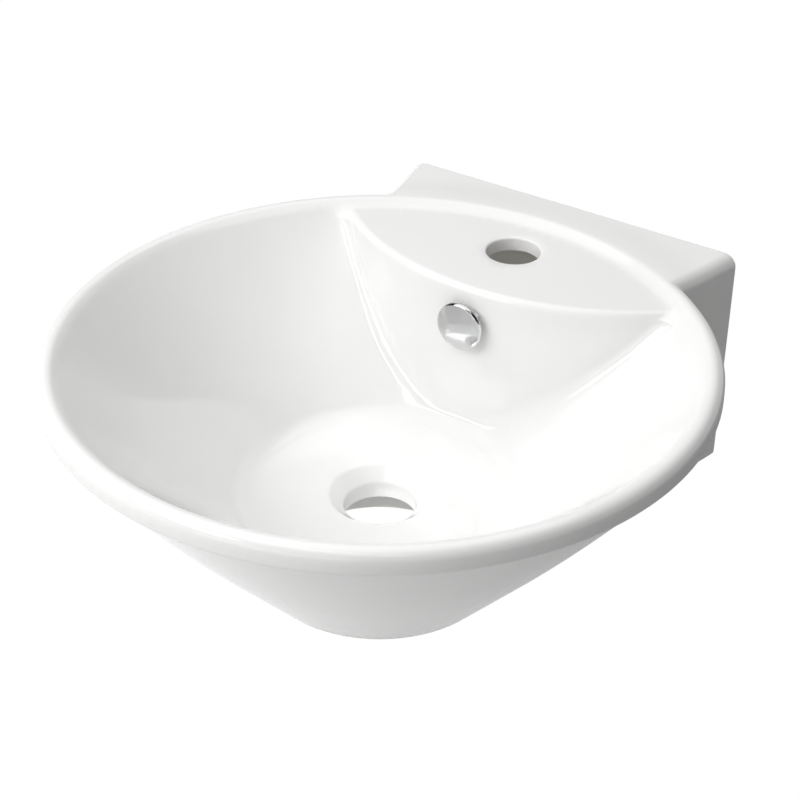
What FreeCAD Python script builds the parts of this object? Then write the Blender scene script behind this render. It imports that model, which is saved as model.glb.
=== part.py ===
import FreeCAD, Part
import math
import os

# Wall basin with a tap ledge, slip cast in one hollow piece and glazed, with a chrome overflow cap.
# Millimetres. X runs along the wall, Y towards the wall, Z up.
# Heights are measured up from the foot plane, drops down from the part named beside them,
# and the other places from the waste hole's axis.
# The exported origin is the middle of the waste hole, so each shape is lowered by origin_height.

# Rim and outer skirt
rim_radius = 200.5
rim_roll_radius = 6.8
roll_outer_count = 4
roll_inner_count = 2
rim_crest_height = 162.8
lip_height = 14.3
lip_corner_radius = 3.0
lip_overhang = 5.1
lip_undercut = 2.0
skirt_gap = 33.6
skirt_round = 1300.0
foot_edge_radius = 73.6
foot_round = 15.0
foot_width = 13.6

# Inside of the bowl
floor_radius = 86.0
floor_height = 57.0
floor_round = 30.0
floor_fall = 0.8

# Waste hole with its washer seat underneath
waste_radius = 22.5
waste_mouth_width = 7.5
waste_mouth_depth = 9.0
waste_mouth_round = 4.0
waste_ledge_ease = 0.8
throat_length = 11.0
washer_seat_width = 13.5
washer_seat_depth = 8.0
boss_wall = 8.0

# Tap ledge and its curved apron, which stands a gap behind the bowl's floor
apron_gap = 6.5
apron_radius = 185.0
deck_drop = 4.1
deck_round = 5.0
tap_hole_radius = 17.5
tap_hole_ease = 1.2

# Tapered block that joins the bowl to the wall
wall_gap = 22.0
block_half_width = 123.7
block_taper = 12.1
block_drop = 1.5
block_bottom_height = 8.7
block_top_round = 9.0
block_corner_round = 8.0
wall_bolt_inset = 38.7
wall_bolt_drop = 49.3
wall_bolt_radius = 7.0

# Ceramic thickness, and the overflow duct from behind the apron to the slot in the waste hole
wall = 9.0
duct_width = 44.0
duct_depth = 14.0
duct_headroom = 2.1
duct_round = 4.0
slot_width = 16.0
slot_height = 6.0

# Overflow hole and its chrome cap, which stands off the apron so that water runs in behind it
overflow_drop = 26.1
overflow_radius = 12.0
cap_overlap = 4.3
cap_gap = 4.0
cap_rim = 2.6
cap_dome = 1.6
cap_edge_ease = 0.8
stem_radius = 3.6
stem_length = 9.0
stem_clearance = 0.1

# Sprung clip on the cap's stem, with its grip ring
clip_plate = 1.6
clip_wall = 1.6
clip_depth = 14.0
clip_ease = 0.5
hub_wall = 2.0
hub_depth = 4.0
foot_count = 4
foot_slot = 3.6
lug_count = 3
lug_width = 3.0
lug_overlap = 2.4
ring_place = 4.0
ring_width = 2.4
ring_depth = 1.3
seat_clearance = 0.3
ring_clearance = 0.1

# How far a cut runs past the face it opens, and how far joined solids reach into each other
overrun = 4.0
lap = 3.0

# Share of the shorter side that a corner's rounding may take
corner_share = 0.45
# Share of the wall at which a lapped solid ends inside it
mid_share = 0.5
# Height of the skirt's bend as a share of the lip's root height
skirt_bend_share = 0.634
# Top of the ring hollow as a share of the way from the skirt's bend to the lip's root
hollow_top_share = 0.2
# Tap hole's place as a share of the way from the apron to the rim's inner edge
tap_hole_share = 0.604

up = FreeCAD.Vector(0, 0, 1)
inward = FreeCAD.Vector(0, 1, 0)

# Bowl, rim and waste
roll_centre_height = rim_crest_height - rim_roll_radius
roll_centre_radius = rim_radius - rim_roll_radius
lip_bottom_height = rim_crest_height - lip_height
lip_root_height = lip_bottom_height - lip_undercut
lip_root_radius = rim_radius - lip_overhang
waste_ledge_height = floor_height - waste_mouth_depth
waste_bottom_height = waste_ledge_height - throat_length
panel_bottom_height = waste_bottom_height - washer_seat_depth
origin_height = (waste_bottom_height + waste_ledge_height) / 2
washer_seat_radius = waste_radius + washer_seat_width
boss_radius = washer_seat_radius + boss_wall
floor_low_height = floor_height - wall
foot_inner_radius = foot_edge_radius - foot_width

# Ledge and block
deck_height = rim_crest_height - deck_drop
ceiling_height = deck_height - wall
apron_front = floor_radius + apron_gap
apron_centre = apron_front + apron_radius
block_back = rim_radius + wall_gap
block_top_height = rim_crest_height - block_drop
wall_bolt_height = block_top_height - wall_bolt_drop
wall_bolt_place = block_half_width - wall_bolt_inset

# Overflow fittings
overflow_height = deck_height - overflow_drop
cap_radius = overflow_radius + cap_overlap
grip_radius = overflow_radius - seat_clearance
sleeve_radius = grip_radius - clip_ease
groove_radius = grip_radius - ring_depth
lug_reach = overflow_radius + lug_overlap
plate_low = cap_gap - clip_plate
clip_inner = groove_radius - clip_wall * mid_share


def at(radius, height):
    return FreeCAD.Vector(radius, 0, height)


def eased_chain(corners, arcs):
    """Edges through (place, height, corner radius) points, inner corners eased by arcs or by flats."""
    points = [at(place, height) for place, height, _ in corners]
    edges = []
    start = points[0]
    for index in range(1, len(points) - 1):
        corner = points[index]
        back = points[index - 1] - corner
        ahead = points[index + 1] - corner
        half = back.getAngle(ahead) / 2
        room = corner_share * min(back.Length, ahead.Length)
        reach = min(corners[index][2] / math.tan(half), room)
        if reach > 0:
            radius = reach * math.tan(half)
            back.normalize()
            ahead.normalize()
            toward = back + ahead
            toward.normalize()
            leave = corner + back * reach
            arrive = corner + ahead * reach
            edges.append(Part.makeLine(start, leave))
            if arcs:
                middle = corner + toward * (radius / math.sin(half) - radius)
                edges.append(Part.Arc(leave, middle, arrive).toShape())
            else:
                edges.append(Part.makeLine(leave, arrive))
            start = arrive
        else:
            edges.append(Part.makeLine(start, corner))
            start = corner
    edges.append(Part.makeLine(start, points[-1]))
    return edges


def turned(edges):
    """Solid of revolution of a closed outline about the waste axis."""
    face = Part.Face(Part.Wire(edges))
    return face.revolve(FreeCAD.Vector(), up, 360)


def crest_contact():
    """Angle of the bowl's inner cone and the radius where it meets the rim's roll."""
    out = roll_centre_radius - floor_radius
    rise = roll_centre_height - floor_height
    span = math.hypot(out, rise)
    angle = math.atan2(rise, out) + math.asin(rim_roll_radius / span)
    run = math.sqrt(span * span - rim_roll_radius * rim_roll_radius)
    return angle, floor_radius + run * math.cos(angle)


cone_angle, crest_inner_radius = crest_contact()
tap_hole_place = apron_front + tap_hole_share * (crest_inner_radius - apron_front)


def cone_radius(height):
    """Radius of the bowl's inner cone at a height."""
    return floor_radius + (height - floor_height) / math.tan(cone_angle)


skirt_bend_height = skirt_bend_share * lip_root_height
skirt_bend_radius = cone_radius(skirt_bend_height) + skirt_gap


def skirt_radius(height):
    """Radius of the outer skirt at a height, on its two straight lines."""
    if height < skirt_bend_height:
        rise = height / skirt_bend_height
        return foot_edge_radius + rise * (skirt_bend_radius - foot_edge_radius)
    rise = (height - skirt_bend_height) / (lip_root_height - skirt_bend_height)
    return skirt_bend_radius + rise * (lip_root_radius - skirt_bend_radius)


def skirt_inset(height, depth):
    """Radius at a height, a depth square to the skirt inside it."""
    rise = lip_root_height
    run = lip_root_radius - foot_edge_radius
    return skirt_radius(height) - depth * math.hypot(rise, run) / rise


def roll_corners():
    """Corners of the flats laid round the rim's roll, from its outer side to the bowl's inner cone."""
    corners = []
    for start, turn, flats in ((0, math.pi / 2, roll_outer_count),
                               (math.pi / 2, cone_angle, roll_inner_count)):
        half = turn / flats / 2
        reach = rim_roll_radius / math.cos(half)
        for index in range(flats):
            angle = start + half + index * turn / flats
            corners.append((roll_centre_radius + reach * math.cos(angle),
                            roll_centre_height + reach * math.sin(angle), 0))
    return corners


def bowl_section():
    """Closed outline of the bowl, its rim, skirt and foot, still without the hollow."""
    outside = eased_chain([
        (foot_inner_radius, 0, 0),
        (foot_edge_radius, 0, foot_round),
        (skirt_bend_radius, skirt_bend_height, skirt_round),
        (lip_root_radius, lip_root_height, 0),
        (rim_radius, lip_bottom_height, lip_corner_radius),
    ] + roll_corners(), False)
    inside = eased_chain([
        roll_corners()[-1],
        (floor_radius, floor_height, floor_round),
        (waste_radius + waste_mouth_width, floor_height - floor_fall, waste_mouth_round),
        (waste_radius + waste_ledge_ease, waste_ledge_height, 0),
        (waste_radius, waste_ledge_height - waste_ledge_ease, 0),
        (waste_radius, waste_bottom_height, 0),
    ], True)
    underside = eased_chain([
        (waste_radius, waste_bottom_height, 0),
        (washer_seat_radius, waste_bottom_height, 0),
        (washer_seat_radius, panel_bottom_height, 0),
        (skirt_inset(panel_bottom_height, wall), panel_bottom_height, 0),
        (foot_inner_radius, 0, 0),
    ], False)
    return outside + inside + underside


def apron_cylinder(depth, low, high):
    """Everything more than a depth behind the apron's face, between two heights."""
    centre = FreeCAD.Vector(0, apron_centre, low)
    return Part.makeCylinder(apron_radius - depth, high - low, centre, up)


def deck_fill():
    """Clay between apron, deck and bowl wall, ending halfway inside that wall."""
    lapped = wall * mid_share
    low = floor_height - lapped
    outline = eased_chain([
        (0, low, 0),
        (cone_radius(low) + lapped, low, 0),
        (cone_radius(deck_height) + lapped, deck_height, 0),
        (0, deck_height, 0),
        (0, low, 0),
    ], False)
    return turned(outline).common(apron_cylinder(0, low - overrun, deck_height + overrun))


def on_apron(edge, tolerance):
    """Whether an edge lies on the apron's face."""
    for point in edge.discretize(Number=5):
        distance = math.hypot(point.x, point.y - apron_centre)
        if abs(distance - apron_radius) > tolerance:
            return False
    return True


def softened_edges(body):
    """The ledge's edges and creases: on the apron's face, or level with the deck behind it."""
    edges = []
    for edge in body.Edges:
        heights = [point.z for point in edge.discretize(Number=5)]
        spread = max(heights) - min(heights)
        at_deck = spread < seat_clearance and abs(heights[0] - deck_height) < seat_clearance
        creased = on_apron(edge, seat_clearance) and min(heights) > floor_height
        if creased or at_deck:
            edges.append(edge)
    return edges


def bowl_with_deck():
    """Bowl and tap ledge in one, with the ledge's edges and creases softened."""
    body = turned(bowl_section()).fuse(deck_fill()).removeSplitter()
    return body.makeFillet(deck_round, softened_edges(body))


def plan_outline(inset, low):
    """Closed plan of the block at a height, inset by a wall all round."""
    lean = math.tan(math.radians(block_taper))
    side = inset / math.cos(math.radians(block_taper))
    back = block_back - inset
    back_half = block_half_width - inset * lean - side
    front_half = block_half_width - block_back * lean - side
    points = [
        FreeCAD.Vector(-front_half, 0, low),
        FreeCAD.Vector(front_half, 0, low),
        FreeCAD.Vector(back_half, back, low),
        FreeCAD.Vector(-back_half, back, low),
    ]
    return Part.makePolygon(points + points[:1])


def prism(inset, low, high):
    """Upright prism of the block's plan."""
    return Part.Face(plan_outline(inset, low)).extrude(FreeCAD.Vector(0, 0, high - low))


def block_outside():
    """Outer form of the block, its long top edges rounded."""
    body = prism(0, block_bottom_height, block_top_height)
    edges = []
    for edge in body.Edges:
        ends = [vertex.Point for vertex in edge.Vertexes]
        along = abs(ends[0].y - ends[1].y) > block_corner_round
        if along and min(end.z for end in ends) > deck_height:
            edges.append(edge)
    return body.makeFillet(block_top_round, edges)


def block_inside(low):
    """Hollow of the block, open below, its upright corners rounded."""
    body = prism(wall, low, ceiling_height)
    edges = []
    for edge in body.Edges:
        ends = [vertex.Point for vertex in edge.Vertexes]
        upright = abs(ends[0].z - ends[1].z) > block_corner_round
        if upright and min(end.y for end in ends) > apron_front:
            edges.append(edge)
    return body.makeFillet(block_corner_round, edges)


def skirt_core():
    """Round body whose side runs halfway inside the skirt's wall."""
    lapped = wall * mid_share
    outline = eased_chain([
        (0, -overrun, 0),
        (skirt_inset(0, lapped), -overrun, 0),
        (skirt_inset(0, lapped), 0, 0),
        (skirt_inset(skirt_bend_height, lapped), skirt_bend_height, 0),
        (skirt_inset(lip_root_height, lapped), lip_root_height, 0),
        (roll_centre_radius, roll_centre_height, 0),
        (roll_centre_radius, rim_crest_height + overrun, 0),
        (0, rim_crest_height + overrun, 0),
        (0, -overrun, 0),
    ], False)
    return turned(outline)


def box(half_width, front, back, low, high):
    """Box centred across the basin."""
    corner = FreeCAD.Vector(-half_width, front, low)
    return Part.makeBox(half_width * 2, back - front, high - low, corner)


def duct_housing():
    """Box behind the apron that carries the overflow duct, its upright corners rounded."""
    back = apron_front + wall + duct_depth + wall
    body = box(duct_width / 2 + wall, apron_front + wall - lap, back,
               panel_bottom_height, ceiling_height + lap)
    edges = []
    for edge in body.Edges:
        ends = [vertex.Point for vertex in edge.Vertexes]
        upright = abs(ends[0].z - ends[1].z) > wall
        if upright and min(end.y for end in ends) > back - lap:
            edges.append(edge)
    return body.makeFillet(duct_round, edges)


def duct_bore():
    """Bent overflow duct: down behind the apron, then forward under the bowl's floor."""
    front = apron_front + wall
    back = front + duct_depth
    top = overflow_height + overflow_radius + duct_headroom
    corners = [
        (apron_front - lap, waste_bottom_height),
        (back, waste_bottom_height),
        (back, top),
        (front, top),
        (front, floor_low_height),
        (apron_front - lap, floor_low_height),
    ]
    points = [FreeCAD.Vector(-duct_width / 2, place, height) for place, height in corners]
    face = Part.Face(Part.makePolygon(points + points[:1]))
    return face.extrude(FreeCAD.Vector(duct_width, 0, 0))


def ring_hollow():
    """Hollow between skirt and bowl, and under the bowl's floor, shut off from the block."""
    cone_shift = wall / math.sin(cone_angle)
    top = skirt_bend_height + hollow_top_share * (lip_root_height - skirt_bend_height)
    outline = eased_chain([
        (boss_radius, waste_bottom_height, 0),
        (skirt_inset(waste_bottom_height, wall), waste_bottom_height, 0),
        (skirt_inset(skirt_bend_height, wall), skirt_bend_height, 0),
        (skirt_inset(top, wall), top, 0),
        (cone_radius(top) + cone_shift, top, 0),
        (cone_radius(floor_low_height) + cone_shift, floor_low_height, 0),
        (boss_radius, floor_low_height, 0),
        (boss_radius, waste_bottom_height, 0),
    ], False)
    return turned(outline).cut(apron_cylinder(0, 0, deck_height))


def waste_slot():
    """Overflow slot through the front of the waste hole's wall."""
    low = (waste_bottom_height + floor_low_height - slot_height) / 2
    return box(slot_width / 2, -boss_radius - lap, lap - waste_radius, low, low + slot_height)


def basin():
    """The whole casting."""
    cavity = block_inside(block_bottom_height - overrun)
    behind = cavity.common(apron_cylinder(wall, -overrun, deck_height))
    body = bowl_with_deck().cut(behind)
    shell = block_outside().cut(cavity).cut(skirt_core())
    body = body.fuse([shell, duct_housing()]).removeSplitter()
    body = body.cut(ring_hollow().fuse(duct_bore()).removeSplitter())
    for hole in (waste_slot(), tap_hole(), overflow_hole()):
        body = body.cut(hole)
    for side in (-1, 1):
        body = body.cut(wall_bolt_hole(side * wall_bolt_place))
    return body


def tap_hole():
    """Hole for the tap's shank, its mouth eased."""
    hole = Part.makeCylinder(tap_hole_radius, wall + 2 * overrun,
                             FreeCAD.Vector(0, tap_hole_place, ceiling_height - overrun), up)
    mouth = Part.makeCone(tap_hole_radius, tap_hole_radius + tap_hole_ease + overrun,
                          tap_hole_ease + overrun,
                          FreeCAD.Vector(0, tap_hole_place, deck_height - tap_hole_ease), up)
    return hole.fuse(mouth)


def overflow_hole():
    place = FreeCAD.Vector(0, apron_front - overrun, overflow_height)
    return Part.makeCylinder(overflow_radius, wall + 2 * overrun, place, inward)


def wall_bolt_hole(x):
    place = FreeCAD.Vector(x, block_back - wall - overrun, wall_bolt_height)
    return Part.makeCylinder(wall_bolt_radius, wall + 2 * overrun, place, inward)


def set_in_hole(body):
    """Turn a piece made along Z from the apron's face into the overflow hole."""
    body = body.copy()
    body.rotate(FreeCAD.Vector(), FreeCAD.Vector(1, 0, 0), 90)
    body.translate(FreeCAD.Vector(0, apron_front, overflow_height))
    return body


def overflow_cap():
    """Domed disc with its stem, turned in one piece."""
    rim_top = cap_gap + cap_rim
    outline = eased_chain([
        (0, rim_top + cap_dome, 0),
        (cap_radius * mid_share, rim_top + cap_dome, 0),
        (cap_radius - cap_edge_ease, rim_top, 0),
        (cap_radius, rim_top - cap_edge_ease, 0),
        (cap_radius, cap_gap, 0),
        (stem_radius, cap_gap, 0),
        (stem_radius, cap_gap - stem_length, 0),
        (0, cap_gap - stem_length, 0),
        (0, rim_top + cap_dome, 0),
    ], False)
    return set_in_hole(turned(outline))


def clip_section():
    """Closed outline of the clip: plate, hub, and a sleeve with a ring groove and swelled end."""
    bore = stem_radius + stem_clearance
    hub = bore + hub_wall
    groove_high = -ring_place + ring_width / 2 + ring_clearance
    groove_low = groove_high - ring_width - 2 * ring_clearance
    swell_high = -clip_depth + clip_wall * 2
    return eased_chain([
        (bore, cap_gap, 0),
        (sleeve_radius, cap_gap, 0),
        (sleeve_radius, groove_high, 0),
        (groove_radius, groove_high, 0),
        (groove_radius, groove_low, 0),
        (sleeve_radius, groove_low, 0),
        (sleeve_radius, swell_high, 0),
        (grip_radius, swell_high - clip_ease, 0),
        (sleeve_radius, -clip_depth, 0),
        (clip_inner, -clip_depth, 0),
        (clip_inner, plate_low, 0),
        (hub, plate_low, 0),
        (hub, plate_low - hub_depth, 0),
        (bore, plate_low - hub_depth, 0),
        (bore, cap_gap, 0),
    ], False)


def overflow_clip():
    """Clip with sprung feet and three lugs that rest round the overflow hole."""
    body = turned(clip_section())
    start = clip_inner - lap * mid_share
    low = -clip_depth - overrun
    gap = Part.makeBox(grip_radius + overrun - start, foot_slot, plate_low - low,
                       FreeCAD.Vector(start, -foot_slot / 2, low))
    lug = Part.makeBox(lug_reach - clip_inner, lug_width, cap_gap - seat_clearance,
                       FreeCAD.Vector(clip_inner, -lug_width / 2, seat_clearance))
    for index in range(foot_count):
        slot = gap.copy()
        slot.rotate(FreeCAD.Vector(), up, 360 * index / foot_count)
        body = body.cut(slot)
    for index in range(lug_count):
        piece = lug.copy()
        piece.rotate(FreeCAD.Vector(), up, 360 * index / lug_count + 180 / foot_count)
        body = body.fuse(piece)
    return set_in_hole(body.removeSplitter())


def grip_ring():
    """Rubber ring in the clip's groove, squeezed to the overflow hole."""
    high = -ring_place + ring_width / 2
    low = high - ring_width
    inner = groove_radius + ring_clearance
    outline = eased_chain([
        (inner, low, 0),
        (grip_radius, low, 0),
        (grip_radius, high, 0),
        (inner, high, 0),
        (inner, low, 0),
    ], False)
    return set_in_hole(turned(outline))


def save(shape, name):
    """Lower a finished shape to the exported origin and write it."""
    shape = shape.copy()
    shape.translate(FreeCAD.Vector(0, 0, -origin_height))
    if not shape.isValid():
        print("not valid", name)
    solids = shape.Solids
    print(name, "solids", len(solids), "volume", round(shape.Volume / 1000, 2), "cm3")
    shape.exportStep(os.path.join("parts", name + ".step"))


os.makedirs("parts", exist_ok=True)
save(basin(), "basin")
save(overflow_cap(), "overflow_cap")
save(overflow_clip(), "overflow_clip")
save(grip_ring(), "grip_ring")
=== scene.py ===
import bpy
import math
import numpy as np
from mathutils import Matrix, Vector


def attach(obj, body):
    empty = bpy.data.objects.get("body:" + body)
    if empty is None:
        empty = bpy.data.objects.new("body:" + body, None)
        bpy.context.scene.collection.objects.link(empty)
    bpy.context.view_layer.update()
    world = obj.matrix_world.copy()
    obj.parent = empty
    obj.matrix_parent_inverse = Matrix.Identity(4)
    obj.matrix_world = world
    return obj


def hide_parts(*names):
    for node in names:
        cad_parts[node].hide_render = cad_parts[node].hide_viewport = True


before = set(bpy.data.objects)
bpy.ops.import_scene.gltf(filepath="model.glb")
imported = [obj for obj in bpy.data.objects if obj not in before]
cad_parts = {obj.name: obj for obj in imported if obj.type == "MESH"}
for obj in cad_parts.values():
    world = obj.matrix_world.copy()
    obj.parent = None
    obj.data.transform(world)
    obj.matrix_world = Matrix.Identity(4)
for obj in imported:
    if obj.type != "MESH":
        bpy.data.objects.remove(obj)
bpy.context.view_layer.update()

# White wall basin with a tap ledge and a chrome overflow cap.
# The form is in millimetres with heights above the foot, as the potter measures it, and
# to_metres() turns it into Blender's places. Camera, floor and lamps are in metres.

foot_level = -42.5  # height of the foot in the shared frame

# Bowl, rim, foot and waste hole; pairs are radius and height
rim_radius = 200.5
rim_roll = 6.8
crest = 162.8
lip_bottom = 148.5
lip_root = (195.4, 146.5)
foot_edge = 73.6
foot_inner = 60.0
floor_edge = (86.0, 57.0)
waste_mouth = (32.0, floor_edge[1] - 0.6)
waste_radius = 22.5
waste_top = 48.0
waste_bottom = 37.0
seat_radius = 36.0
panel_bottom = 29.0
wall = 9.0

# Apron, tap ledge and the fillet where the apron meets the bowl
apron_radius = 185.0
apron_front = 92.5
apron_centre = apron_front + apron_radius
deck_level = 158.7
deck_round = 4.5
tap_place = 150.7
tap_radius = 17.5
tap_mouth = 1.5
crease_radius = 9.0
crease_foot_extra = 8.0
crease_foot_span = (130.0, 80.0)
crease_deck_extra = 5.0
crease_deck_span = (150.0, 160.0)

# Block at the back
block_back = 222.5
block_half = 123.7
block_taper = math.radians(12.1)
block_top = 161.3
block_bottom = 8.7
block_side_round = 9.0
block_edge_round = 1.6
block_skirt_fillet = 6.0
top_rise_span = 34.0  # over this length the block's top rises to the rim's crest
bolt_place = 85.0
bolt_level = 112.0
bolt_radius = 7.0
bolt_mouth = 0.8

# Overflow hole, and the duct's lowest and highest corners
overflow_level = 132.6
overflow_radius = 12.0
overflow_mouth = 1.0
duct_low = (-22.0, 101.5, 37.0)
duct_high = (22.0, 115.5, 146.7)

# Slope of the bowl's inside, from the floor's edge up to the rim's roll
rise = crest - rim_roll - floor_edge[1]
run = rim_radius - rim_roll - floor_edge[0]
cone_angle = math.atan2(rise, run) + math.asin(rim_roll / math.hypot(rise, run))

# Place of the skirt's bend: part of the way up, and a step out from the bowl's inside
bend_share = 0.634
bend_step = 33.6
bend_level = bend_share * lip_root[1]
bend_radius = floor_edge[0] + (bend_level - floor_edge[1]) / math.tan(cone_angle) + bend_step
skirt_lean = math.atan2(lip_root[0] - foot_edge, lip_root[1])

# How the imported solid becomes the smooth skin
skin_reach = 3.5          # faces further than this from the form aren't its skin
skin_facing = 0.6         # least cosine of the angle between a face of its skin and the form
final_facing = 0.2        # the same, once the faces lie on the form
rest_gap = 0.1            # a place this near to the form has come to rest
halving_rounds = 7
longest_edge = 9.0        # longer edges are halved
shortest_bent_edge = 0.9  # and so are those longer than this, where the form bends by most_bend
most_bend = math.cos(math.radians(15))
most_triangles = 160000   # no more halving past this
soft_edge = math.cos(math.radians(35))
bare_reach = 1.4          # how far bare clay reaches round the foot, the wall face and underside


def to_metres(places):
    return (np.asarray(places) + (0, 0, foot_level)) / 1000


# ---- the form of the casting, as a distance from its surface, less than nothing inside the clay

def outline_pieces(corners):
    """Straight runs and arcs of a closed outline of (radius, height, rounding) corners."""
    points = np.array([corner[:2] for corner in corners])
    straight, arcs, joins = [], [], []
    for index, corner in enumerate(corners):
        back = points[index - 1] - points[index]
        ahead = points[(index + 1) % len(points)] - points[index]
        back /= np.linalg.norm(back)
        ahead /= np.linalg.norm(ahead)
        half = math.acos(np.clip(back @ ahead, -1, 1)) / 2
        radius = corner[2]
        reach = radius / math.tan(half)
        toward = (back + ahead) / np.linalg.norm(back + ahead)
        left_turn = back[1] * ahead[0] - back[0] * ahead[1] > 0
        joins.append((points[index] + back * reach, points[index] + ahead * reach))
        centre = points[index] + toward * radius / math.sin(half)
        arcs.append((centre, radius, -toward, math.sin(half), 1 if left_turn else -1))
    for index, (_, start) in enumerate(joins):
        end = joins[(index + 1) % len(joins)][0]
        length = np.linalg.norm(end - start)
        if length > 1e-6:
            along = (end - start) / length
            straight.append((start, along, length, np.array((along[1], -along[0]))))
    return straight, arcs


def skirt_radius(height):
    """Radius of the skirt's two straight slopes, without the rounding between them."""
    lower = foot_edge + (bend_radius - foot_edge) * height / bend_level
    share = (height - bend_level) / (lip_root[1] - bend_level)
    return np.where(height < bend_level, lower, bend_radius + (lip_root[0] - bend_radius) * share)


# The turned section's corners: radius, height, rounding
section = outline_pieces([
    (foot_inner, 0, 1.2),
    (foot_edge, 0, 15),
    (bend_radius, bend_level, 1300),
    (*lip_root, 6),
    (rim_radius, lip_bottom, 3),
    (rim_radius, crest, rim_roll),
    (rim_radius - rim_roll - rim_roll * math.tan(cone_angle / 2), crest, rim_roll),
    (*floor_edge, 20),
    (*waste_mouth, 4.5),
    (waste_radius, waste_top, 2.5),
    (waste_radius, waste_bottom, 0.8),
    (seat_radius, waste_bottom, 1),
    (seat_radius, panel_bottom, 1),
    (float(skirt_radius(panel_bottom)) - wall / math.cos(skirt_lean), panel_bottom, 2),
])


def bowl(p):
    """Distance from the turned bowl."""
    place = np.stack((np.hypot(p[:, 0], p[:, 1]), p[:, 2]), 1)
    best = np.full(len(p), 1e6)
    straight, arcs = section
    for start, along, length, outward in straight:
        gap = place - start
        travel = np.clip(gap @ along, 0, length)
        off = gap - travel[:, None] * along
        reach = np.copysign(np.hypot(off[:, 0], off[:, 1]), gap @ outward)
        best = np.where(np.abs(reach) < np.abs(best), reach, best)
    for centre, radius, toward, span, sense in arcs:
        gap = place - centre
        size = np.hypot(gap[:, 0], gap[:, 1])
        reach = sense * (size - radius)
        nearer = (gap @ toward >= span * size) & (np.abs(reach) < np.abs(best))
        best = np.where(nearer, reach, best)
    return best


def eased(value, start, end):
    """Smooth step from 0 at start to 1 at end."""
    share = np.clip((value - start) / (end - start), 0, 1)
    return share * share * (3 - 2 * share)


def square_edge(a, b, radius):
    """Both of two forms that meet square, with a rounded edge."""
    round_part = np.hypot(np.maximum(radius + a, 0), np.maximum(radius + b, 0))
    return np.minimum(-radius, np.maximum(a, b)) + round_part


def ledge(p):
    """Distance from the tap ledge, taken as going on backwards without end."""
    behind = np.hypot(p[:, 0], p[:, 1] - apron_centre) - apron_radius
    return square_edge(behind, p[:, 2] - deck_level, deck_round)


def inside_bowl(p):
    """Whether a place is nearer the waste axis than the middle of the bowl's wall."""
    middle = floor_edge[0] + wall / 2 + (p[:, 2] - floor_edge[1]) / math.tan(cone_angle)
    return (np.hypot(p[:, 0], p[:, 1]) < middle) & (p[:, 2] > floor_edge[1] - wall / 2)


def block(p):
    """Distance from the block at the back, taken as going on forwards without end."""
    half = block_half - (block_back - p[:, 1]) * math.tan(block_taper)
    side = (np.abs(p[:, 0]) - half) * math.cos(block_taper)
    behind = np.hypot(p[:, 0], p[:, 1]) - (rim_radius - rim_roll)
    top = block_top + (crest - block_top) * eased(behind, top_rise_span, 0)
    body = square_edge(side, p[:, 2] - top, block_side_round)
    body = square_edge(body, p[:, 1] - block_back, block_edge_round)
    return square_edge(body, block_bottom - p[:, 2], block_edge_round)


def outside_skirt(p):
    """Whether a place is behind, and further from the waste axis than the middle of the skirt."""
    skirt = skirt_radius(p[:, 2]) - wall / 2 / math.cos(skirt_lean)
    skirt = np.where(p[:, 2] > lip_root[1], np.minimum(skirt, rim_radius - rim_roll), skirt)
    return (np.hypot(p[:, 0], p[:, 1]) > skirt) & (p[:, 1] > 0)


def tap_hole(p):
    across = np.hypot(p[:, 0], p[:, 1] - tap_place) - tap_radius
    return np.maximum(across, deck_level - 2 * wall - p[:, 2])


def overflow_hole(p):
    across = np.hypot(p[:, 0], p[:, 2] - overflow_level) - overflow_radius
    return np.maximum(across, np.abs(p[:, 1] - apron_front) - 2 * wall)


def bolt_holes(p):
    across = np.hypot(np.abs(p[:, 0]) - bolt_place, p[:, 2] - bolt_level) - bolt_radius
    return np.maximum(across, block_back - 2 * wall - p[:, 1])


def slope(form, p):
    """Direction in which the distance from a form grows."""
    step = 0.02
    result = np.empty_like(p)
    for axis in range(3):
        ahead, back = p.copy(), p.copy()
        ahead[:, axis] += step
        back[:, axis] -= step
        result[:, axis] = form(ahead) - form(back)
    return result / np.maximum(np.linalg.norm(result, axis=1), 1e-9)[:, None]


def joined(first, second, fillet):
    """Two forms in one, with a fillet rolled along their crease; its radius may vary by place."""
    near_parallel, near_opposite = 0.98, -0.7

    def distance(p):
        a, b = first(p), second(p)
        result = np.minimum(a, b)
        radius = fillet(p) if callable(fillet) else np.full(len(p), float(fillet))
        near = np.flatnonzero((np.abs(a) < radius) & (np.abs(b) < radius))
        if len(near):
            across = (slope(first, p[near]) * slope(second, p[near])).sum(1)
            across = np.clip(across, -near_parallel, near_parallel)
            ball = radius[near]
            u, v = ball - a[near], ball - b[near]
            between = (u > across * v) & (v > across * u) & (across > near_opposite)
            square = np.maximum(u * u + v * v - 2 * across * u * v, 0)
            reach = np.sqrt(square / (1 - across * across))
            result[near] = np.where(between, ball - reach, result[near])
        return result
    return distance


def apron_fillet(p):
    """Wide at the foot of the apron, tight in its upper corners, wide again round the deck."""
    at_foot = crease_foot_extra * eased(p[:, 2], *crease_foot_span)
    at_deck = crease_deck_extra * eased(p[:, 2], *crease_deck_span)
    return crease_radius + at_foot + at_deck


def added(first, second, radius, where):
    """Second form joined to the first in one part of space only."""
    filled = joined(first, second, radius)

    def distance(p):
        result = first(p)
        rows = np.flatnonzero(where(p))
        if len(rows):
            result[rows] = filled(p[rows])
        return result
    return distance


def carved(body, hole, radius):
    """A form with a hole in it, the hole's mouth rounded."""
    filled = joined(lambda p: -body(p), hole, radius)
    return lambda p: -filled(p)


casting = added(bowl, ledge, apron_fillet, inside_bowl)
casting = added(casting, block, block_skirt_fillet, outside_skirt)
casting = carved(casting, tap_hole, tap_mouth)
casting = carved(casting, overflow_hole, overflow_mouth)
casting = carved(casting, bolt_holes, bolt_mouth)


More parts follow.
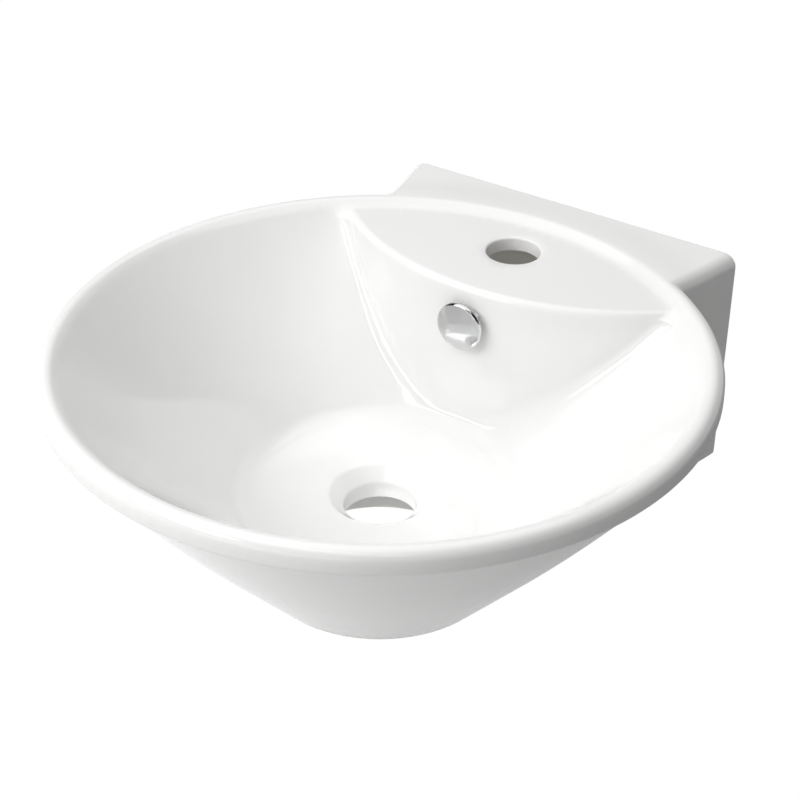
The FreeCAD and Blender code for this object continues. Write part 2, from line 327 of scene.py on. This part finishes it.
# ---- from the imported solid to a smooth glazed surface

def welded(solid):
    """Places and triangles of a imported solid, its loose corners merged."""
    mesh = solid.data
    places = np.empty(len(mesh.vertices) * 3)
    mesh.vertices.foreach_get("co", places)
    places = places.reshape(-1, 3) * 1000 - (0, 0, foot_level)
    mesh.calc_loop_triangles()
    corners = np.empty(len(mesh.loop_triangles) * 3, dtype=np.int64)
    mesh.loop_triangles.foreach_get("vertices", corners)
    _, first, index = np.unique(np.round(places, 3), axis=0, return_index=True, return_inverse=True)
    triangles = index.reshape(-1)[corners].reshape(-1, 3)
    kept = (triangles[:, 0] != triangles[:, 1]) & (triangles[:, 1] != triangles[:, 2])
    kept &= triangles[:, 2] != triangles[:, 0]
    return places[first], triangles[kept]


def edge_list(triangles):
    """Every edge once, and the number of each triangle's three edges in that list."""
    pairs = triangles[:, [0, 1, 1, 2, 2, 0]].reshape(-1, 2)
    pairs.sort(axis=1)
    edges, number = np.unique(pairs, axis=0, return_inverse=True)
    return edges, number.reshape(-1, 3)


def halved(places, triangles, marks, edges, number, chosen):
    """Halve the chosen edges and cut up the triangles on them to match."""
    middle = np.full(len(edges), -1)
    middle[chosen] = len(places) + np.arange(len(chosen))
    places = np.concatenate((places, (places[edges[chosen, 0]] + places[edges[chosen, 1]]) / 2))
    cut = middle[number]
    count = (cut >= 0).sum(1)
    made, made_marks = [triangles[count == 0]], [marks[count == 0]]
    for cuts in (1, 2, 3):
        rows = np.flatnonzero(count == cuts)
        t, m = triangles[rows], cut[rows]
        if cuts == 1:
            lead = (m >= 0).argmax(1)
        elif cuts == 2:
            lead = ((m < 0).argmax(1) + 1) % 3
        else:
            lead = 0 * rows
        turn = (lead[:, None] + np.arange(3)) % 3
        t, m = np.take_along_axis(t, turn, 1), np.take_along_axis(m, turn, 1)
        a, b, c = t.T
        ab, bc, ca = m.T
        if cuts == 1:
            parts = [(a, ab, c), (ab, b, c)]
        elif cuts == 2:
            parts = [(ab, b, bc), (a, ab, bc), (a, bc, c)]
        else:
            parts = [(a, ab, ca), (ab, b, bc), (ca, bc, c), (ab, bc, ca)]
        made += [np.stack(part, 1) for part in parts]
        made_marks += [marks[rows]] * len(parts)
    return places, np.concatenate(made), np.concatenate(made_marks)


def face_slopes(places, triangles):
    """Direction of each triangle, as long as twice its area."""
    a, b, c = places[triangles].transpose(1, 0, 2)
    return np.cross(b - a, c - a)


def unit(vectors):
    return vectors / np.maximum(np.linalg.norm(vectors, axis=1), 1e-12)[:, None]


def settled(places, form):
    """Places moved onto a form's surface, with its slope there, and which of them came to rest."""
    places = places.copy()
    for _ in range(3):
        reach = form(places)
        lean = slope(form, places)
        places -= np.clip(reach, -skin_reach, skin_reach)[:, None] * lean
    return places, lean, np.abs(reach) < rest_gap


def in_duct(p):
    return ((p > np.array(duct_low) - 1) & (p < np.array(duct_high) + 1)).all(1)


def smooth_casting(solid):
    """Finely divided, exactly rounded copy of the basin, with which triangles are glazed skin."""
    places, triangles = welded(solid)
    middle = places[triangles].mean(1)
    flat = unit(face_slopes(places, triangles))
    skin = np.abs(casting(middle)) < skin_reach
    skin &= (flat * slope(casting, middle)).sum(1) > skin_facing
    skin &= ~in_duct(middle)
    lean = np.zeros_like(places)
    fresh = np.unique(triangles[skin])
    for turn in range(halving_rounds):
        moved, leaning, rested = settled(places[fresh], casting)
        places[fresh[rested]] = moved[rested]
        lean[fresh] = leaning
        lost = np.zeros(len(places), bool)
        lost[fresh[~rested]] = True
        skin &= ~lost[triangles].any(1)
        if turn == halving_rounds - 1 or len(triangles) > most_triangles:
            break
        edges, number = edge_list(triangles)
        skinned = np.zeros(len(edges), bool)
        skinned[number[skin]] = True
        length = np.linalg.norm(places[edges[:, 0]] - places[edges[:, 1]], axis=1)
        bent = (lean[edges[:, 0]] * lean[edges[:, 1]]).sum(1) < most_bend
        chosen = skinned & ((length > longest_edge) | (bent & (length > shortest_bent_edge)))
        if not chosen.any():
            break
        old = len(places)
        places, triangles, skin = halved(places, triangles, skin, edges, number,
                                         np.flatnonzero(chosen))
        lean = np.concatenate((lean, np.zeros((len(places) - old, 3))))
        fresh = np.unique(triangles[skin])
        fresh = fresh[fresh >= old]
    flat = unit(face_slopes(places, triangles))
    skin &= (flat[:, None] * lean[triangles]).sum(2).min(1) > final_facing
    return places, triangles, skin, lean


def corner_normals(places, triangles, skin, lean):
    """Normals for each corner: the form's own on the skin, smooth over soft edges elsewhere."""
    area = face_slopes(places, triangles)
    flat = unit(area)
    normals = np.repeat(flat[:, None, :], 3, axis=1)
    hidden = np.flatnonzero(~skin)
    corner = triangles[hidden].reshape(-1)
    owner = np.repeat(hidden, 3)
    order = np.argsort(corner, kind="stable")
    sorted_corner = corner[order]
    start = np.searchsorted(sorted_corner, corner, "left")
    count = np.searchsorted(sorted_corner, corner, "right") - start
    total = np.zeros((len(corner), 3))
    for step in range(count.max() if len(count) else 0):
        has = count > step
        other = owner[order[(start + step)[has]]]
        close = (flat[owner[has]] * flat[other]).sum(1) > soft_edge
        total[has] += area[other] * close[:, None]
    normals[hidden] = unit(total).reshape(-1, 3, 3)
    normals[skin] = lean[triangles[skin]]
    return normals


def bare_clay(places, triangles, skin):
    """How bare each place is, 0 to 1: foot, wall face, the block's underside and the inside."""
    across, height = np.hypot(places[:, 0], places[:, 1]), places[:, 2]
    foot = np.clip(bare_reach - np.abs(height), 0, 1)
    back = np.clip(places[:, 1] - block_back + bare_reach, 0, 1)
    below = np.clip(bare_reach - np.abs(height - block_bottom), 0, 1)
    below *= across > skirt_radius(height) - 2
    inside = np.ones(len(places))
    inside[np.unique(triangles[skin])] = 0
    return np.clip(foot + back + below + inside, 0, 1)


def put_in_scene(name, data):
    made = bpy.data.objects.new(name, data)
    bpy.context.scene.collection.objects.link(made)
    return made


def new_piece(name, places, triangles, body, material, normals=None):
    """A closed piece from places in millimetres above the foot, set on its body."""
    mesh = bpy.data.meshes.new(name)
    mesh.from_pydata(to_metres(places).tolist(), [], triangles.tolist())
    mesh.polygons.foreach_set("use_smooth", np.ones(len(mesh.polygons), bool))
    if normals is not None:
        mesh.normals_split_custom_set(normals.reshape(-1, 3).tolist())
    mesh.materials.append(material)
    piece = put_in_scene(name, mesh)
    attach(piece, body)
    return piece


# ---- parts of a material

def feed(tree, value, socket):
    """Give a socket another socket's value, or a constant."""
    if isinstance(value, bpy.types.NodeSocket):
        tree.links.new(value, socket)
    else:
        socket.default_value = value


def add_node(tree, kind, **values):
    """A new node with its settings, or its inputs' constants, given by name."""
    made = tree.nodes.new(kind)
    for key, value in values.items():
        if hasattr(made, key):
            setattr(made, key, value)
        else:
            made.inputs[key.replace("_", " ")].default_value = value
    return made


def noise(tree, place, scale, detail=3.0, roughness=0.5):
    made = add_node(tree, "ShaderNodeTexNoise", Detail=detail, Roughness=roughness)
    feed(tree, place, made.inputs["Vector"])
    feed(tree, scale, made.inputs["Scale"])
    return made.outputs["Fac"]


def ranged(tree, value, first, last, start=0.0, end=1.0):
    """Value that goes from first to last while another goes from start to end."""
    made = add_node(tree, "ShaderNodeMapRange", clamp=True, From_Min=start, From_Max=end)
    feed(tree, value, made.inputs["Value"])
    feed(tree, first, made.inputs["To Min"])
    feed(tree, last, made.inputs["To Max"])
    return made.outputs["Result"]


def worked_out(tree, operation, first, second):
    """Result of a sum on two values."""
    made = add_node(tree, "ShaderNodeMath", operation=operation)
    feed(tree, first, made.inputs[0])
    feed(tree, second, made.inputs[1])
    return made.outputs[0]


def distance_along(tree, place, direction):
    made = add_node(tree, "ShaderNodeVectorMath", operation="DOT_PRODUCT")
    feed(tree, place, made.inputs[0])
    feed(tree, direction, made.inputs[1])
    return made.outputs["Value"]


def mixed_colour(tree, share, first, second):
    """Colour between two others."""
    made = add_node(tree, "ShaderNodeMix", data_type="RGBA")
    feed(tree, share, made.inputs["Factor"])
    low, high = [socket for socket in made.inputs if socket.type == "RGBA"]
    feed(tree, first, low)
    feed(tree, second, high)
    return [socket for socket in made.outputs if socket.type == "RGBA"][0]


def new_group(name, inputs, output):
    """An empty group of nodes with its sockets, and its inlet and outlet."""
    tree = bpy.data.node_groups.new(name, "ShaderNodeTree")
    for socket, kind in inputs:
        tree.interface.new_socket(socket, in_out="INPUT", socket_type=kind)
    tree.interface.new_socket(output[0], in_out="OUTPUT", socket_type=output[1])
    return tree, tree.nodes.new("NodeGroupInput").outputs, tree.nodes.new("NodeGroupOutput").inputs


def mottle_group():
    """Cloudy light and dark over a surface, between two colours."""
    tree, given, result = new_group(
        "cloudy_tone",
        (("Place", "NodeSocketVector"), ("Light", "NodeSocketColor"), ("Dark", "NodeSocketColor"),
         ("Scale", "NodeSocketFloat")),
        ("Colour", "NodeSocketColor"))
    cloud = noise(tree, given["Place"], given["Scale"], 4.0, 0.55)
    share = ranged(tree, cloud, 0.0, 1.0, start=0.3, end=0.7)
    feed(tree, mixed_colour(tree, share, given["Light"], given["Dark"]), result["Colour"])
    return tree


def ripple_group():
    """Height of a surface's slow ripple and its fine grain together."""
    parts = ("Ripple Scale", "Ripple", "Grain Scale", "Grain")
    tree, given, result = new_group(
        "ripple_and_grain",
        (("Place", "NodeSocketVector"), *((part, "NodeSocketFloat") for part in parts)),
        ("Height", "NodeSocketFloat"))
    heights = []
    for scale, amount in (("Ripple Scale", "Ripple"), ("Grain Scale", "Grain")):
        cloud = noise(tree, given["Place"], given[scale], 2.0, 0.5)
        heights.append(worked_out(tree, "MULTIPLY", cloud, given[amount]))
    feed(tree, worked_out(tree, "ADD", *heights), result["Height"])
    return tree


cloudy_tone = mottle_group()
ripple_and_grain = ripple_group()


def new_finish(name, light, dark, cloud_scale, ripple, grain, bump, **shine):
    """A material with cloudy tone and a rippled, grained surface.

    ripple and grain are each (scale, height). Returns the material, its nodes, its shader, the
    place on the object and the tone.
    """
    material = bpy.data.materials.new(name)
    material.use_nodes = True
    tree = material.node_tree
    shader = tree.nodes["Principled BSDF"]
    for key, value in shine.items():
        shader.inputs[key.replace("_", " ")].default_value = value
    place = tree.nodes.new("ShaderNodeTexCoord").outputs["Object"]
    tone = add_node(tree, "ShaderNodeGroup", node_tree=cloudy_tone)
    for key, value in (("Place", place), ("Light", (*light, 1)), ("Dark", (*dark, 1)),
                       ("Scale", cloud_scale)):
        feed(tree, value, tone.inputs[key])
    feed(tree, tone.outputs["Colour"], shader.inputs["Base Color"])
    relief = add_node(tree, "ShaderNodeGroup", node_tree=ripple_and_grain)
    for key, value in (("Place", place), ("Ripple Scale", ripple[0]), ("Ripple", ripple[1]),
                       ("Grain Scale", grain[0]), ("Grain", grain[1])):
        feed(tree, value, relief.inputs[key])
    bumps = add_node(tree, "ShaderNodeBump", Strength=bump, Distance=0.001)
    feed(tree, relief.outputs["Height"], bumps.inputs["Height"])
    feed(tree, bumps.outputs["Normal"], shader.inputs["Normal"])
    return material, tree, shader, place, tone.outputs["Colour"]


# ---- the finishes

def white_glaze():
    """Glossy white glaze, bare where the casting stood in the kiln or meets the wall."""
    material, tree, shader, place, tone = new_finish(
        "white_glaze", light=(0.87, 0.87, 0.862), dark=(0.845, 0.845, 0.838), cloud_scale=9,
        ripple=(55, 0.05), grain=(420, 0.004), bump=0.3, IOR=1.5)
    bare = add_node(tree, "ShaderNodeAttribute", attribute_name="bare").outputs["Fac"]
    clay = (0.74, 0.70, 0.63, 1)
    clay_roughness = 0.82
    feed(tree, mixed_colour(tree, bare, tone, clay), shader.inputs["Base Color"])
    shine = ranged(tree, noise(tree, place, 14), 0.05, 0.1)
    feed(tree, ranged(tree, bare, shine, clay_roughness), shader.inputs["Roughness"])
    return material


def streaked_finish(name, streak_scale, smoothest, roughest, **surface):
    """A finish whose roughness wanders between two values."""
    material, tree, shader, place, _ = new_finish(name, **surface)
    streak = noise(tree, place, streak_scale)
    feed(tree, ranged(tree, streak, smoothest, roughest), shader.inputs["Roughness"])
    return material


# ---- the pieces

glaze = white_glaze()
basin_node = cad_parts["basin"]
places, triangles, skin, lean = smooth_casting(basin_node)
basin = new_piece("basin_glazed", places, triangles, "basin", glaze,
                  corner_normals(places, triangles, skin, lean))
bare = basin.data.attributes.new("bare", "FLOAT", "POINT")
bare.data.foreach_set("value", bare_clay(places, triangles, skin))
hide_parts("basin")


def turned_piece(name, profile, steps, body, material):
    """Piece turned round the overflow hole's axis from (radius, outward) points, poles closed."""
    angle = np.arange(steps) / steps * 2 * math.pi
    ring = np.stack((np.cos(angle), np.sin(angle)), 1)
    rows = np.array(profile)[1:-1]
    places = []
    for radius, outward in rows:
        for c, s in ring:
            places.append((radius * c, apron_front - outward, overflow_level + radius * s))
    faces = []
    for row in range(len(rows) - 1):
        for step in range(steps):
            a = row * steps + step
            b = row * steps + (step + 1) % steps
            faces += [(a, b, b + steps), (a, b + steps, a + steps)]
    for row, outward in ((0, profile[0][1]), (len(rows) - 1, profile[-1][1])):
        pole = len(places)
        places.append((0, apron_front - outward, overflow_level))
        for step in range(steps):
            a = row * steps + step
            b = row * steps + (step + 1) % steps
            faces.append((pole, b, a) if row == 0 else (pole, a, b))
    return new_piece(name, np.array(places), np.array(faces), body, material)


def cap_profile():
    """Domed face, rounded edge, flat back and stem, as (radius, outward) points."""
    radius, rim_top, dome, edge = 16.3, 6.6, 1.6, 2.0
    ball = (radius * radius + dome * dome) / (2 * dome)
    edge_centre = rim_top - edge * 0.86
    face_shares = np.linspace(0.04, 0.87, 22)
    edge_shares = np.linspace(0.12, 1, 10)
    points = [(0, rim_top + dome)]
    for share in face_shares:
        r = radius * share
        points.append((r, rim_top + dome - ball + math.sqrt(ball * ball - r * r)))
    for share in edge_shares:
        turn = share * math.pi / 2
        points.append((radius - edge + edge * math.sin(turn), edge_centre + edge * math.cos(turn)))
    back_edge = [(radius, 4.9), (radius, 4.4), (radius - 0.1, 4.1), (radius - 0.4, 4.0)]
    flat_back = [(12, 4.0), (4.2, 4.0)]
    stem = [(3.7, 3.9), (3.6, 3.6), (3.6, 0), (3.6, -4.6), (3.3, -5.0), (0, -5.0)]
    return points + back_edge + flat_back + stem


chrome = streaked_finish(
    "polished_chrome", streak_scale=120, smoothest=0.04, roughest=0.09,
    light=(0.70, 0.705, 0.71), dark=(0.65, 0.655, 0.66), cloud_scale=60,
    ripple=(300, 0.02), grain=(2500, 0.002), bump=0.2, Metallic=1.0)
cap = turned_piece("overflow_cap_polished", cap_profile(), 96, "cap_set", chrome)
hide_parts("overflow_cap")

plastic = streaked_finish(
    "clip_plastic", streak_scale=260, smoothest=0.42, roughest=0.6,
    light=(0.80, 0.80, 0.78), dark=(0.72, 0.72, 0.70), cloud_scale=90,
    ripple=(200, 0.05), grain=(1800, 0.05), bump=0.3)
rubber = streaked_finish(
    "seal_rubber", streak_scale=300, smoothest=0.55, roughest=0.8,
    light=(0.035, 0.035, 0.037), dark=(0.02, 0.02, 0.022), cloud_scale=120,
    ripple=(300, 0.05), grain=(3000, 0.15), bump=0.5)
for name, material in (("overflow_clip", plastic), ("grip_ring", rubber)):
    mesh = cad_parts[name].data
    mesh.materials.clear()
    mesh.materials.append(material)


# ---- camera, floor and light, in metres

def camera():
    """The photograph's view: from the right and above, with a long lens."""
    turn, lift, roll = math.radians(33.873), math.radians(32.832), math.radians(0.459)
    sidestep, upstep, distance = 0.011838, 0.054135, 1.141528
    start = Vector((0, 0, (60 + foot_level) / 1000))
    lens_per_width = 1856.293 / 800
    level = Vector((math.cos(turn), math.sin(turn), 0))
    ahead = Vector((-math.sin(turn) * math.cos(lift), math.cos(turn) * math.cos(lift),
                    -math.sin(lift)))
    upward = level.cross(ahead)
    right = math.cos(roll) * level + math.sin(roll) * upward
    top = math.cos(roll) * upward - math.sin(roll) * level
    place = start + sidestep * level + upstep * upward - distance * ahead
    data = bpy.data.cameras.new("camera")
    data.sensor_width = 36
    data.lens = 36 * lens_per_width
    data.clip_start = 0.05
    made = put_in_scene("camera", data)
    made.matrix_world = Matrix((
        (right.x, top.x, -ahead.x, place.x),
        (right.y, top.y, -ahead.y, place.y),
        (right.z, top.z, -ahead.z, place.z),
        (0, 0, 0, 1)))
    bpy.context.scene.camera = made


def seen_white(tree, plain, share, level, mirrored, white_kind):
    """White to the camera and in reflections, and the plain shader to the rest of the light.

    The camera sees the white as bright as level, and reflections see it as bright as mirrored.
    share is how much of the plain shader it covers there.
    """
    rays = tree.nodes.new("ShaderNodeLightPath").outputs
    direct = rays["Is Camera Ray"]
    seen = worked_out(tree, "MAXIMUM", direct, rays["Is Glossy Ray"])
    seen = worked_out(tree, "MAXIMUM", seen, rays["Is Transmission Ray"])
    to_camera = worked_out(tree, "MULTIPLY", direct, level)
    to_mirror = worked_out(tree, "MULTIPLY", worked_out(tree, "SUBTRACT", 1.0, direct), mirrored)
    white = tree.nodes.new(white_kind)
    white.inputs["Color"].default_value = (1, 1, 1, 1)
    feed(tree, worked_out(tree, "ADD", to_camera, to_mirror), white.inputs["Strength"])
    mix = tree.nodes.new("ShaderNodeMixShader")
    feed(tree, worked_out(tree, "MULTIPLY", seen, share), mix.inputs[0])
    feed(tree, plain, mix.inputs[1])
    feed(tree, white.outputs[0], mix.inputs[2])
    return mix.outputs[0]


def floor():
    """Pale floor 0.3 m below the foot, as the basin hangs on its wall; painted light and shade make
    it lighter on the left and darker on the right.
    """
    half, level = 4.0, -0.34
    toward_painted_shade = (0.83, 0.557, 0)
    span = (-0.3, 0.35)
    mesh = bpy.data.meshes.new("floor")
    mesh.from_pydata([(x * half, y * half, level) for x, y in ((-1, -1), (1, -1), (1, 1), (-1, 1))],
                     [], [(0, 1, 2, 3)])
    material = bpy.data.materials.new("pale_floor")
    material.use_nodes = True
    tree = material.node_tree
    shader = tree.nodes["Principled BSDF"]
    shader.inputs["Roughness"].default_value = 0.9
    place = tree.nodes.new("ShaderNodeTexCoord").outputs["Object"]
    # Painted light and shade: the floor's colour and its brightness in reflections fall towards the
    # right, for lamp light on the left and the basin's shadow on the right
    across = distance_along(tree, place, toward_painted_shade)
    feed(tree, ranged(tree, across, 0.88, 0.58, *span), shader.inputs["Base Color"])
    mirrored = ranged(tree, across, 1.15, 0.3, *span)
    seen = seen_white(tree, shader.outputs[0], 0.96, 1.03, mirrored, "ShaderNodeEmission")
    feed(tree, seen, tree.nodes["Material Output"].inputs["Surface"])
    mesh.materials.append(material)
    put_in_scene("floor", mesh)


def room():
    """Soft light, most of it from above; reflections see it dim from the horizon upwards."""
    world = bpy.data.worlds.new("room")
    bpy.context.scene.world = world
    world.use_nodes = True
    tree = world.node_tree
    plain = tree.nodes["Background"]
    plain.inputs["Color"].default_value = (1, 1, 1, 1)
    direction = tree.nodes.new("ShaderNodeTexCoord").outputs["Generated"]
    brightest = (-0.21, -0.13, 0.56)  # towards the strongest light, as long as its strength
    soft = distance_along(tree, direction, brightest)
    feed(tree, worked_out(tree, "MAXIMUM", soft, 0.0), plain.inputs["Strength"])
    height = tree.nodes.new("ShaderNodeSeparateXYZ")
    feed(tree, direction, height.inputs[0])
    mirrored = ranged(tree, height.outputs["Z"], 0.9, 0.03, 0.0, 0.3)
    seen = seen_white(tree, plain.outputs[0], 1.0, 1.0, mirrored, "ShaderNodeBackground")
    feed(tree, seen, tree.nodes["World Output"].inputs["Surface"])


def lamp(name, place, size, power):
    """Soft rectangular lamp turned to the basin's middle."""
    data = bpy.data.lights.new(name, "AREA")
    data.shape = "RECTANGLE"
    data.size, data.size_y = size
    data.energy = power
    made = put_in_scene(name, data)
    made.location = place
    toward = Vector((0, 0, 0.03)) - Vector(place)
    made.rotation_euler = toward.to_track_quat("-Z", "Y").to_euler()


camera()
floor()
room()

# Name, place, size and power in watts; the last one lies inside the foot, under the waste hole
for row in (
    ("overhead", (-0.2, 0.1, 1.4), (1.6, 1.6), 9.7),
    ("strip", (-0.1, -0.65, 1.1), (1.7, 0.06), 2.7),
    ("low_front", (-0.6, -0.95, 0.8), (0.9, 0.26), 6.6),
    ("front", (0.1, -1.5, 0.3), (1.2, 0.5), 2.5),
    ("behind", (-0.5, 1.2, 0.9), (1.2, 0.8), 0.9),
    ("under", (0, -0.01, -0.041), (0.05, 0.05), 0.012),
):
    lamp(*row)

bpy.context.scene.view_settings.view_transform = "Standard"
